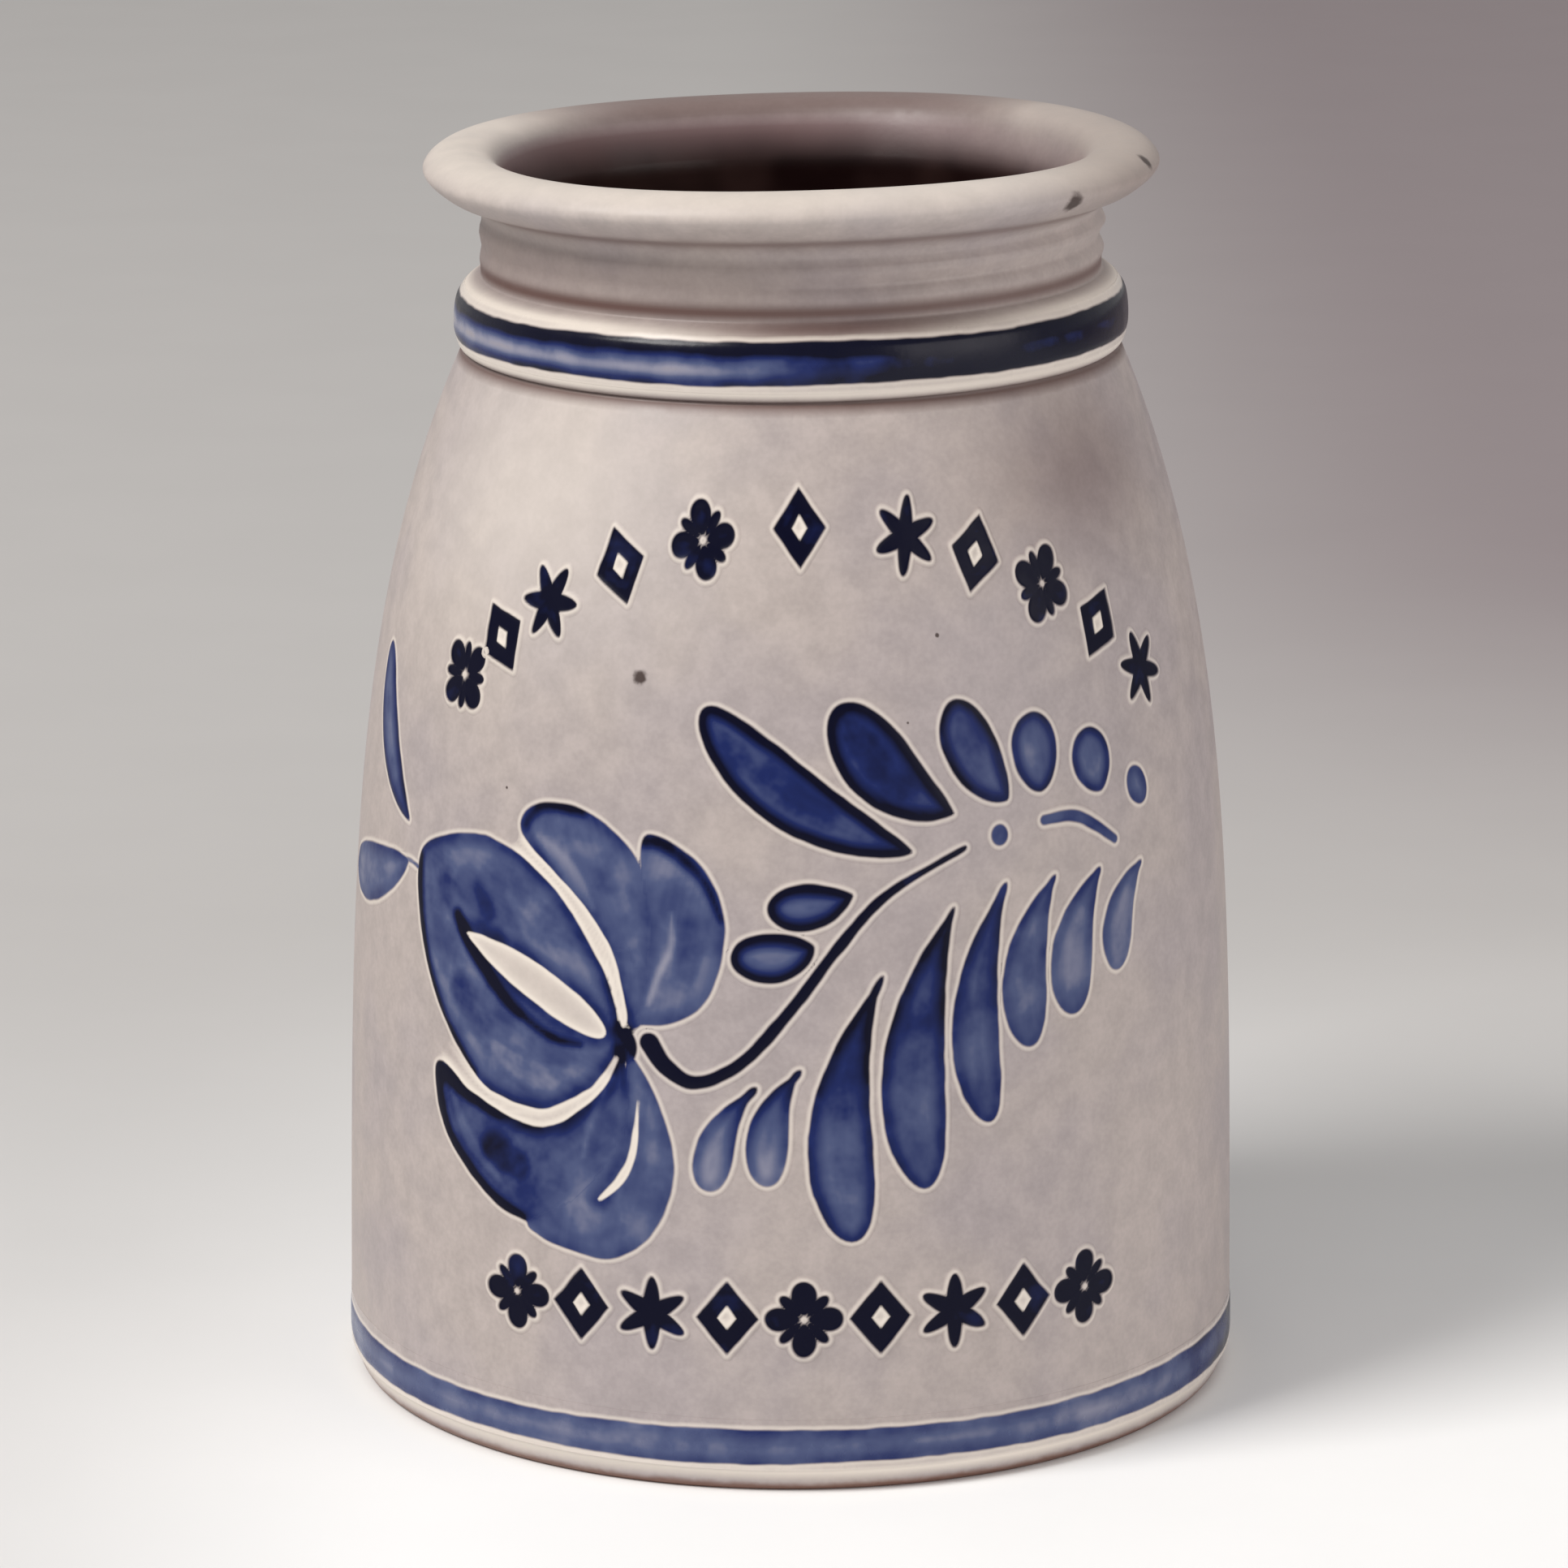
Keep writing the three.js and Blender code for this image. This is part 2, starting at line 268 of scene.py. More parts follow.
class Mark:
    """One mark of the brush: its outline, its middle line, how full the brush was, and how far it pooled."""

    def __init__(self, outline, middle, load, pool, fade=0.0):
        self.outline = np.asarray(outline, float)
        self.middle = np.asarray(middle, float)
        self.load = load
        self.pool = pool
        self.fade = fade

    def depth(self, points):
        return depth_inside(points, self.outline)

    def brush(self, points):
        """How far across and along the middle line each point lies."""
        start, end = self.middle[:-1], self.middle[1:]
        step = end - start
        length = np.linalg.norm(step, axis=1)
        offset = points[:, None, :] - start[None]
        share = np.clip((offset * step).sum(-1) / length**2, 0, 1)
        gap = offset - share[..., None] * step
        nearest = np.linalg.norm(gap, axis=-1).argmin(1)
        rows = np.arange(len(points))
        side = step[nearest, 0] * gap[rows, nearest, 1] - step[nearest, 1] * gap[rows, nearest, 0]
        travelled = np.concatenate([[0], np.cumsum(length)])
        along = travelled[nearest] + share[rows, nearest] * length[nearest]
        return side / length[nearest], along, along / travelled[-1]


def leaf(tip, end, width, bow, belly, load=0.5, pool=0.5, fade=0.0, tail=0.3):
    """A pressed brush mark: a thin tail where the brush lands, round where it lifts, widest at belly."""
    tip, end = np.array(tip, float), np.array(end, float)
    along = end - tip
    side = np.array([-along[1], along[0]]) / np.linalg.norm(along)
    middle = (tip + end) / 2 + side * 2 * bow
    t = (0.5 - 0.5 * np.cos(np.linspace(0, math.pi, 29)))[:, None]
    line = (1 - t) ** 2 * tip + 2 * t * (1 - t) * middle + t**2 * end
    tangent = (1 - t) * (middle - tip) + t * (end - middle)
    normal = np.column_stack([-tangent[:, 1], tangent[:, 0]]) / np.linalg.norm(tangent, axis=1)[:, None]
    half = width / 2 * (t / belly) ** (0.5 * belly / (1 - belly)) * ((1 - t) / (1 - belly)) ** 0.5
    half = np.where(t < belly, np.maximum(half, tail * np.minimum(t / 0.04, 1) ** 0.5), half)
    outline = np.vstack([(line - normal * half)[:-1], (line + normal * half)[:0:-1]])
    return Mark(outline, line, load, pool, fade)


def brush_line(path, widths, load=1.0, pool=0.3, fade=0.0):
    """A line drawn along a smooth path, with a width for each of its points."""
    line = smooth_line(path, 60)
    half = smooth_line([(w, 0) for w in widths], 60)[:, :1] / 2
    tangent = np.gradient(line, axis=0)
    normal = np.column_stack([-tangent[:, 1], tangent[:, 0]]) / np.linalg.norm(tangent, axis=1)[:, None]
    turn = np.linspace(0, math.pi, 9)[1:-1, None]
    start_cap = line[0] + half[0] * (np.cos(turn) * normal[0] - np.sin(turn) * normal[0][::-1] * [1, -1])
    end_cap = line[-1] - half[-1] * (np.cos(turn) * normal[-1] - np.sin(turn) * normal[-1][::-1] * [1, -1])
    outline = np.vstack([line - normal * half, end_cap, (line + normal * half)[::-1], start_cap])
    return Mark(outline, line, load, pool, fade)


def petal(points, tip, load, pool):
    """A petal laid down with several pulls of the brush, from the heart to its tip."""
    return Mark(smooth_line(list(points) + [points[0]], 72)[:-1], [HEART, tip], load, pool)


def pulls(rows):
    """Pulls of the brush inside a mark, each with its strength."""
    return [(brush_line(path, widths), strength) for path, widths, strength in rows]


HEART = (-33, 87)
FRONT_PETAL = petal(
    [HEART, (-37, 100), (-49, 115), (-66, 122), (-84, 118), (-88, 110), (-82, 92), (-68, 76),
     (-54, 71), (-41, 76)],
    (-80, 104), load=0.58, pool=0.75,
)
FRONT_WINDOW = leaf((-71, 102.7), (-36.5, 88), 7.3, 1.2, 0.6, tail=0.2)
TALL_PETAL = petal(
    [(-31, 88), (-34, 100), (-44, 114), (-57, 124), (-54, 130), (-42, 130), (-30, 121), (-27, 104)],
    (-52, 127), load=0.57, pool=0.6,
)
RIGHT_PETAL = petal(
    [(-32, 91), (-28, 104), (-30, 123), (-27, 127), (-17, 121), (-12.8, 110), (-16, 97), (-23, 91.5)],
    (-24, 124), load=0.54, pool=0.4,
)
PETAL_JOIN = leaf((-30.5, 90), (-31.5, 122), 9, 0.8, 0.5, load=0.58, pool=0)
LOW_PETAL = petal(
    [(-33, 85), (-38, 76.2), (-50, 68.4), (-65, 70.9), (-77, 76), (-79.5, 72.5), (-75.5, 62),
     (-64.3, 52.8), (-56, 49.5), (-45, 49), (-36, 54), (-30, 70)],
    (-66, 60), load=0.67, pool=0.9,
)
LOW_LOBE = petal(
    [(-32, 86), (-34, 72), (-46, 60), (-53.5, 50), (-51, 46.8), (-44.9, 45.2), (-35, 44.6),
     (-27, 50), (-23, 59), (-23, 68), (-27, 79)],
    (-38, 52), load=0.52, pool=0.35,
)
HEART_DAB = leaf((-31.3, 83.5), (-34.5, 91), 5.2, 0, 0.5, load=1.0, pool=0.6)
PETAL_GAP = brush_line(
    [(-57, 121.4), (-46.6, 114.8), (-37.4, 105.2), (-33.4, 94), (-32.7, 90.5)], [1.0, 2.4, 2.4, 2.1, 1.2]
)
LOW_GAP = brush_line(
    [(-76, 78.4), (-73, 76), (-66.3, 72.6), (-50.9, 70.6), (-40.5, 75.5), (-37, 79)],
    [1.0, 2.2, 2.4, 2.4, 2.2, 1.2],
)
LOW_VEIN = brush_line([(-29.6, 76), (-30.7, 66), (-33.3, 60.2), (-37.5, 56)], [0.5, 1.4, 1.7, 0.7])
THIN_PULLS = pulls([
    ([(-23.4, 112.4), (-23.3, 106.3), (-25.8, 100.6), (-27.7, 95)], [0.3, 0.8, 0.8, 0.4], 0.4),
    ([(-35, 80), (-39, 72), (-41, 64)], [0.5, 1.2, 0.6], 0.2),
    ([(-74, 71), (-69, 63), (-61, 56.5)], [0.5, 2.4, 1.0], 0.2),
    ([(-84, 108), (-79, 94), (-68, 82)], [0.5, 2.2, 1.0], 0.1),
    ([(-53, 124), (-46, 119), (-40, 112)], [1.0, 3.6, 1.0], 0.22),
    ([(-60, 112), (-52, 104), (-44, 94)], [1.0, 4.5, 2.0], 0.14),
    ([(-62, 82), (-52, 78), (-44, 80)], [2.0, 5.0, 2.0], 0.16),
    ([(-50, 56), (-42, 52), (-36, 52)], [3.0, 7.0, 3.0], 0.12),
])
FULL_PULLS = pulls([
    ([(-73.5, 105.5), (-67, 98), (-59, 91.5), (-49, 86.5), (-42, 85.5)], [2.6, 3.0, 2.4, 1.6, 0.6], 0.5),
    ([(-79, 74), (-75.5, 62.5), (-64.5, 53), (-56, 49.5)], [3.0, 3.4, 3.4, 2.4], 0.35),
    ([(-79, 74), (-70, 71.5), (-61, 69)], [2.4, 2.8, 1.6], 0.3),
    ([(-30, 125.8), (-24, 124.6), (-17.5, 119.5), (-13.5, 112)], [2.6, 2.8, 2.0, 1.0], 0.4),
    ([(-78, 111), (-70, 104), (-62, 103)], [5.0, 6.0, 4.0], 0.12),
    ([(-44, 121), (-38, 116), (-33, 108)], [3.0, 5.0, 4.0], 0.1),
    ([(-20, 110), (-20, 102)], [4.0, 5.0], 0.1),
    ([(-56, 126), (-52, 130.5), (-43, 130)], [2.0, 3.0, 2.0], 0.3),
    ([(-87, 114), (-85, 98), (-77, 84), (-68, 76)], [2.0, 3.4, 3.4, 2.0], 0.3),
    ([(-71, 112), (-66, 108)], [7.0, 6.0], 0.16),
    ([(-62, 62), (-56, 60)], [7.0, 6.0], 0.2),
    ([(-72, 92), (-66, 86)], [6.0, 6.0], 0.14),
    ([(-40, 108), (-34, 96), (-31, 90)], [2.0, 3.0, 2.0], 0.2),
])

STEM = brush_line(
    [(-27.5, 87.5), (-24, 83), (-18, 80.5), (-9, 85), (0, 95), (9, 106.5), (19, 116.5), (35, 124)],
    [3.8, 3.2, 2.5, 2.3, 2.3, 2.1, 1.7, 0.9], load=1.0, pool=0.5, fade=0.12,
)
BERRIES = [
    leaf((4.5, 107), (-11.5, 105.5), 9.5, 1.5, 0.55, load=0.62, pool=1.6, tail=0.8),
    leaf((12, 116.5), (-4.5, 114.5), 8.8, 1, 0.6, load=0.66, pool=1.5, tail=0.8),
]
UPPER_LEAVES = [
    leaf((24, 124), (-18, 151), 12.4, 3.8, 0.6, load=0.71, pool=1.4, tail=0.6),
    leaf((33, 130.5), (10, 152), 14, 3.2, 0.62, load=0.8, pool=1.1, tail=0.8),
    leaf((45, 132), (34, 151.5), 11.5, 1.6, 0.58, load=0.66, pool=1.1, tail=1.2),
    leaf((53, 132.5), (51.5, 147.5), 11, 0, 0.55, load=0.53, pool=1.1),
    leaf((69, 130.5), (65, 142.5), 10.3, 0, 0.55, load=0.5, pool=1.1),
]
HANGING_LEAVES = [
    leaf((-6.5, 80), (-15.5, 59.5), 7.5, -2.5, 0.72, load=0.48, pool=0.8, fade=0.5, tail=0.8),
    leaf((2, 83.5), (-4, 61), 8, -3, 0.7, load=0.5, pool=0.8, fade=0.5, tail=0.8),
    leaf((17.8, 101), (12.5, 50), 12.5, -5.5, 0.7, load=0.71, pool=0.7, fade=0.24, tail=0.8),
    leaf((32.4, 113), (26.5, 59.5), 12.6, -5.5, 0.66, load=0.7, pool=0.7, fade=0.22, tail=0.8),
    leaf((43.8, 116.5), (39.4, 71), 9.8, -5, 0.66, load=0.65, pool=0.6, fade=0.05, tail=0.8),
    leaf((55.5, 116.5), (49, 84.5), 10, -4.5, 0.66, load=0.56, pool=0.5, fade=0.1, tail=0.8),
    leaf((67.3, 116), (59.5, 89), 10.5, -4, 0.66, load=0.52, pool=0.5, fade=0.1, tail=0.8),
    leaf((80, 115), (71.5, 95.5), 8.5, -3.5, 0.66, load=0.46, pool=0.45, fade=0.15, tail=0.7),
]
SIDE_LEAVES = [
    leaf((-93, 120), (-114, 151), 9.5, 3.5, 0.6, load=0.62, pool=0.8, tail=0.8),
    leaf((-92, 112.5), (-128, 104), 11.5, 2, 0.6, load=0.54, pool=0.5, tail=0.8),
]
DABS = [
    leaf((82, 126), (78.5, 133), 6, 0, 0.5, load=0.56, pool=0.5),
    leaf((41, 125.6), (44.6, 125.6), 3.8, 0, 0.5, load=0.6, pool=0.4),
    brush_line([(53.3, 127.1), (61.9, 126.6), (71.9, 120.6)], [1.8, 2.3, 1.5], load=0.56, pool=0.4),
    brush_line([(-88, 112), (-92, 112.5), (-99, 111.5)], [1.0, 0.8, 2.0], load=0.44, pool=0.3),
]


def wrapped(flat):
    """Points of the unrolled wall, as (across, up, lift), wrapped round the crock."""
    across, up, lift = flat.T
    radius = wall_radius(up) + lift
    turn = across / BELLY_RADIUS
    return np.column_stack([radius * np.sin(turn), -radius * np.cos(turn), up])


def trim_to_line(bm, reach_of, margin):
    """Slides the ragged border of a trimmed grid on to the line where the reach is -margin."""
    border = [v for v in bm.verts if v.is_boundary]
    nudge = 0.05
    for _ in range(3):
        at = np.array([v.co[:2] for v in border])
        here = reach_of(at)
        slope = np.column_stack([reach_of(at + [nudge, 0]) - here, reach_of(at + [0, nudge]) - here]) / nudge
        steep = np.maximum((slope**2).sum(1), 0.5)[:, None]
        step = np.clip(-margin - here, -0.5, 0.5)[:, None] * slope / steep
        for vert, (across, up) in zip(border, step):
            vert.co.x += across
            vert.co.y += up


SHARP_ANGLE = 0.7


def sharpen(bm):
    """Marks the corners of a thin skin as sharp, so its face is shaded like the wall under it."""
    for edge in bm.edges:
        if edge.calc_face_angle(0) > SHARP_ANGLE:
            edge.smooth = False


def skin_of_slip(marks, pitch, lift_of, cut=(), thin=(), full=(), margin=1.4, sink=0.4):
    """A closed skin for one piece of painting, still flat, as (across, up, lift).

    A grid over the marks is trimmed a margin outside their edge. The margin is bare clay, on which the
    glaze thins to a pale line, and it dips into the wall, so that two skins can meet. The marks of cut
    are left bare, and those of thin and full hold less or more slip by the share given with each.
    """
    def reach_of(points):
        return np.max([m.depth(points) for m in [*marks, *cut]], axis=0)

    every = np.vstack([m.outline for m in marks])
    low, high = every.min(0) - margin - pitch, every.max(0) + margin + pitch
    span = high - low
    bm = bmesh.new()
    steps = np.ceil(span / pitch).astype(int)
    bmesh.ops.create_grid(bm, x_segments=int(steps[0]), y_segments=int(steps[1]), size=0.5)
    bmesh.ops.scale(bm, verts=bm.verts, vec=(span[0], span[1], 1))
    bmesh.ops.translate(bm, verts=bm.verts, vec=(*(low + high) / 2, 0))
    reach = reach_of(where(bm)[:, :2])
    bare = [f for f in bm.faces if max(reach[v.index] for v in f.verts) < -margin]
    bmesh.ops.delete(bm, geom=bare, context="FACES")
    trim_to_line(bm, reach_of, margin)
    flat = where(bm)[:, :2]
    border = reach_of(flat)
    each = np.array([m.depth(flat) for m in marks])
    reach = np.min([each.max(0)] + [-hole.depth(flat) for hole in cut], axis=0)
    share = smoothstep(-1.0, 3.0, each) + 1e-6
    share /= share.sum(0)
    owner = each.argmax(0)
    load, pool = np.zeros(len(flat)), np.zeros(len(flat))
    across, along = np.zeros(len(flat)), np.zeros(len(flat))
    for i, mark in enumerate(marks):
        side, travelled, part = mark.brush(flat)
        load += share[i] * mark.load * (1 + mark.fade * (0.5 - part) * 2)
        pool += share[i] * mark.pool
        across = np.where(owner == i, side + 37 * i, across)
        along = np.where(owner == i, travelled, along)
    for pull, strength in thin:
        load *= 1 - strength * smoothstep(-0.9, 0.6, pull.depth(flat))
    for pull, strength in full:
        load += strength * smoothstep(-1.2, 1.2, pull.depth(flat))
    slip = {"edge": reach, "load": load, "pool": pool, "across": across, "along": along}
    for name, values in slip.items():
        store(bm, name, values)
    glaze_and_light_marks = glaze_marks_and_painted_light(wrapped(np.column_stack([flat, np.zeros(len(flat))])))
    beside = smoothstep(-2.6, -0.6, each.max(0))
    for hole in cut:
        inward = hole.depth(flat)
        cream = beside * (0.35 + 0.35 * np.exp(-((inward / 1.6) ** 2))) * smoothstep(-2.6, -0.8, inward)
        glaze_and_light_marks["pale"] = np.maximum(glaze_and_light_marks["pale"], cream)
    for name, values in glaze_and_light_marks.items():
        store(bm, name, values)
    for vert, lift in zip(bm.verts, lift_of(reach) + 0.08 * smoothstep(-margin, -margin + 0.3, border)):
        vert.co.z = lift
    under = bmesh.ops.extrude_face_region(bm, geom=list(bm.faces), use_keep_orig=True)["geom"]
    for vert in under:
        if isinstance(vert, bmesh.types.BMVert):
            vert.co.z = -sink
    bmesh.ops.recalc_face_normals(bm, faces=bm.faces)
    sharpen(bm)
    return bm


def brushed_lift(reach):
    """A brush stroke stands a little above the wall, rounded at its edge."""
    relief = bpy.context.scene.crock_sizes.slip_relief / MM
    return -0.03 + relief * smoothstep(-0.3, 1.0, reach)


def pressed_lift(reach):
    """A stamp pushes up a small rim of clay round itself."""
    burr = bpy.context.scene.crock_sizes.stamp_burr / MM
    return -0.03 + burr * np.exp(-(((reach + 0.35) / 0.4) ** 2))


def add_painting(name, marks, material, nodes=(), pitch=0.6, **details):
    bm = skin_of_slip(marks, pitch, brushed_lift, **details)
    place(bm, wrapped(where(bm)))
    return finish_piece(name, bm, material, "crock", nodes)


# ---------- materials ----------

def add_node(tree, kind, inputs=None, **settings):
    """Adds one node with its settings, and its inputs as numbers or as links."""
    node = tree.nodes.new(kind)
    for name, value in settings.items():
        setattr(node, name, value)
    for socket, value in (inputs or {}).items():
        if isinstance(value, bpy.types.NodeSocket):
            tree.links.new(value, node.inputs[socket])
        else:
            node.inputs[socket].default_value = value
    return node


def per(size):
    """The scale that gives a pattern features of this size in millimetres, on metre coordinates."""
    return 1 / (size * MM)


def started(name):
    """A material, with its node tree and place socket while it has still to be made."""
    material = bpy.data.materials.get(name)
    if material:
        return material, None, None
    material = bpy.data.materials.new(name)
    material.use_nodes = True
    tree = material.node_tree
    tree.nodes.clear()
    return material, tree, add_node(tree, "ShaderNodeTexCoord").outputs["Object"]


def noise(tree, spot, size, detail):
    inputs = {"Vector": spot, "Scale": per(size), "Detail": detail}
    return add_node(tree, "ShaderNodeTexNoise", inputs).outputs[0]


def kept(tree, name):
    """A number that was stored on the vertices."""
    return add_node(tree, "ShaderNodeAttribute", attribute_name=name).outputs["Fac"]


def mixed(tree, factor, first, second, blend="MIX"):
    return add_node(tree, "ShaderNodeMix", {0: factor, 6: first, 7: second}, data_type="RGBA",
                    blend_type=blend).outputs[2]


def ranged(tree, value, from_low, from_high, to_low=0.0, to_high=1.0):
    return add_node(
        tree, "ShaderNodeMapRange",
        {0: value, 1: from_low, 2: from_high, 3: to_low, 4: to_high},
        interpolation_type="SMOOTHSTEP",
    ).outputs[0]


def reckoned(tree, operation, *values):
    return add_node(tree, "ShaderNodeMath", dict(enumerate(values)), operation=operation).outputs[0]


IRON_SPOTS = [
    ((-32, 155.8), 0, 1.7), ((31.5, 163.5), 0, 0.6), ((24, 148), 0, 0.4), ((-62, 132), 0, 0.4),
    ((74.7, 240.1), 71.1, 2.8), ((116, 243.4), 69.8, 2.3),
]


def clay_colour(tree, spot):
    """The glazed body: soft warm and cool clouds, fine mottle, pale edges and painted highlights, brown
    grooves and painted shade, and iron spots.

    Gives the colour, the clouds and the mottle. An iron spot is a wall place, a radius where it isn't on
    the wall, and its size.
    """
    colours = bpy.context.scene.crock_colours
    clouds = noise(tree, spot, 40, 3.0)
    mottle = noise(tree, spot, 5, 4.0)
    grain = noise(tree, spot, 1.1, 2.0)
    body = mixed(tree, ranged(tree, clouds, 0.38, 0.62), list(colours.clay_cool), list(colours.clay_warm))
    shade = ranged(tree, mottle, 0.3, 0.7, 0.93, 1.05)
    fine = ranged(tree, grain, 0.3, 0.7, 0.955, 1.03)
    both = reckoned(tree, "MULTIPLY", shade, fine)
    tone = add_node(tree, "ShaderNodeCombineColor", {0: both, 1: both, 2: both}).outputs[0]
    body = mixed(tree, 1.0, body, tone, "MULTIPLY")
    # pale and brown carry the painted highlights and painted shade as well as the glaze's own tones.
    pale = kept(tree, "pale")
    brown = kept(tree, "brown")
    body = mixed(tree, pale, body, list(colours.pale_clay_and_highlight))
    body = mixed(tree, brown, body, list(colours.pooled_glaze_and_shade))
    for (across, up), radius, size in IRON_SPOTS:
        radius = radius or wall_radius(up)
        turn = across / BELLY_RADIUS
        middle = (radius * math.sin(turn) * MM, -radius * math.cos(turn) * MM, up * MM)
        gap = add_node(tree, "ShaderNodeVectorMath", {0: spot, 1: middle}, operation="DISTANCE").outputs[1]
        wander = reckoned(tree, "MULTIPLY", grain, size * MM * 0.5)
        edge = reckoned(tree, "ADD", gap, wander)
        seen = ranged(tree, edge, size * MM * 0.7, size * MM * 1.3, 0.92, 0.0)
        body = mixed(tree, seen, body, list(colours.iron))
    return body, clouds, mottle


PIT_DEPTH = 0.06
GLAZE_IOR = 1.5


def orange_peel(tree, spot, strength):
    """The pitted skin that salt glaze leaves: pits about 1.6 mm apart, drawn a little coarse so they show."""
    pits = noise(tree, spot, 2.2, 3.0)
    swell = noise(tree, spot, 12, 1.0)
    height = reckoned(tree, "ADD", pits, reckoned(tree, "MULTIPLY", swell, 3.0))
    return add_node(
        tree, "ShaderNodeBump", {"Strength": strength, "Distance": PIT_DEPTH * MM, "Height": height}
    ).outputs[0]


def glazed(tree, colour, roughness, spot, shine):
    """Salt glaze over a colour: satin and a little pitted."""
    glaze = add_node(
        tree, "ShaderNodeBsdfPrincipled",
        {"Base Color": colour, "Roughness": roughness, "IOR": GLAZE_IOR, "Specular IOR Level": shine,
         "Normal": orange_peel(tree, spot, 0.5)},
    )
    add_node(tree, "ShaderNodeOutputMaterial", {0: glaze.outputs[0]})


def salt_glazed_stoneware():
    """Thrown grey stoneware, salt glazed outside, with a brown slip poured inside."""
    material, tree, spot = started("salt_glaze_over_greige_clay")
    if tree is None:
        return material
    colours = bpy.context.scene.crock_colours
    colour, clouds, mottle = clay_colour(tree, spot)
    height = add_node(tree, "ShaderNodeSeparateXYZ", {0: spot}).outputs[2]
    uneven = reckoned(tree, "ADD", height, reckoned(tree, "MULTIPLY", mottle, 1.2 * MM))
    # Painted shade: the foot darkens to brown at its bottom edge, where it meets the floor.
    colour = mixed(tree, ranged(tree, uneven, 1.4 * MM, 3.0 * MM, 0.85, 0.0), colour, list(colours.foot_contact_shade))
    inside = kept(tree, "inside")
    run = reckoned(tree, "ADD", height, reckoned(tree, "MULTIPLY", clouds, 6 * MM))
    # Painted shade: the liner darkens to near black with depth inside the crock.
    depth = ranged(tree, run, 234.5 * MM, 246 * MM, 1.0, 0.0)
    liner = mixed(tree, depth, list(colours.liner), list(colours.liner_deep_and_shade))
    liner = mixed(tree, ranged(tree, clouds, 0.4, 0.6, 0.0, 0.25), liner, list(colours.pooled_glaze_and_shade))
    colour = mixed(tree, inside, colour, liner)
    dull = ranged(tree, mottle, 0.3, 0.7, 0.42, 0.56)
    roughness = add_node(tree, "ShaderNodeMix", {0: inside, 2: dull, 3: 0.28}, data_type="FLOAT").outputs[0]
    shine = add_node(tree, "ShaderNodeMix", {0: inside, 2: 0.4, 3: 0.12}, data_type="FLOAT").outputs[0]
    glazed(tree, colour, roughness, spot, shine)
    return material


def cobalt_slip_under_glaze():
    """Cobalt slip brushed on raw clay under a thin skin of glaze: it lies nearly matt."""
    return cobalt_slip("cobalt_slip_under_glaze", 0.34, 0.46, 0.12)


def cobalt_slip_under_thick_glaze():
    """The same slip banded on the wheel, where the glaze ran together and shines."""
    return cobalt_slip("cobalt_slip_under_thick_glaze", 0.22, 0.3, 0.22)


def cobalt_slip(name, smooth, rough, shine):
    """Cobalt slip under salt glaze: its pooled edges near black, its washes grey-blue."""
    material, tree, spot = started(name)
    if tree is None:
        return material
    colours = bpy.context.scene.crock_colours
    clay, _, mottle = clay_colour(tree, spot)
    read = {key: kept(tree, key) for key in ("edge", "load", "pool", "across", "along")}
    pull = add_node(tree, "ShaderNodeCombineXYZ", {
        0: reckoned(tree, "MULTIPLY", read["across"], 0.28),
        1: reckoned(tree, "MULTIPLY", read["along"], 0.05),
        2: 0.0,
    }).outputs[0]
    streaks = add_node(tree, "ShaderNodeTexNoise", {"Vector": pull, "Scale": 1.0, "Detail": 2.0}).outputs[0]
    wash = noise(tree, spot, 9, 3.0)
    shake = noise(tree, spot, 6, 1.0)
    edge = reckoned(tree, "ADD", read["edge"], ranged(tree, shake, 0.3, 0.7, -0.1, 0.1))
    cover = ranged(tree, edge, -0.25, 0.25)
    thin = ranged(tree, edge, -1.2, -0.4, 0.0, 0.5)
    thin = reckoned(tree, "MULTIPLY", thin, ranged(tree, edge, -0.4, 0.0, 1.0, 0.0))
    clay = mixed(tree, thin, clay, list(colours.pale_clay_and_highlight))
    shore_edge = reckoned(tree, "ADD", edge, ranged(tree, wash, 0.3, 0.7, -0.6, 0.6))
    shore = ranged(tree, shore_edge, 0.2, 3.4, 1.0, 0.0)
    pooled = reckoned(tree, "MULTIPLY", reckoned(tree, "MULTIPLY", shore, read["pool"]), 0.3)
    density = reckoned(tree, "ADD", read["load"], pooled)
    density = reckoned(tree, "ADD", density, ranged(tree, wash, 0.3, 0.7, -0.11, 0.11))
    density = reckoned(tree, "ADD", density, ranged(tree, streaks, 0.3, 0.7, -0.03, 0.03))
    ramp = add_node(tree, "ShaderNodeValToRGB", {0: density})
    stops = [
        (0.0, clay_tint()), (0.3, list(colours.cobalt_thin)), (0.55, list(colours.cobalt_mid)),
        (0.78, list(colours.cobalt_deep)), (1.0, list(colours.cobalt_black)),
    ]
    while len(ramp.color_ramp.elements) < len(stops):
        ramp.color_ramp.elements.new(0.5)
    for element, (position, colour) in zip(ramp.color_ramp.elements, stops):
        element.position = position
        element.color = colour
    body = mixed(tree, cover, clay, ramp.outputs[0])
    glazed(tree, body, ranged(tree, mottle, 0.3, 0.7, smooth, rough), spot, shine)
    return material


def clay_tint():
    """The clay's colour half way between its warm and cool clouds."""
    colours = bpy.context.scene.crock_colours
    return [(a + b) / 2 for a, b in zip(colours.clay_warm, colours.clay_cool)]


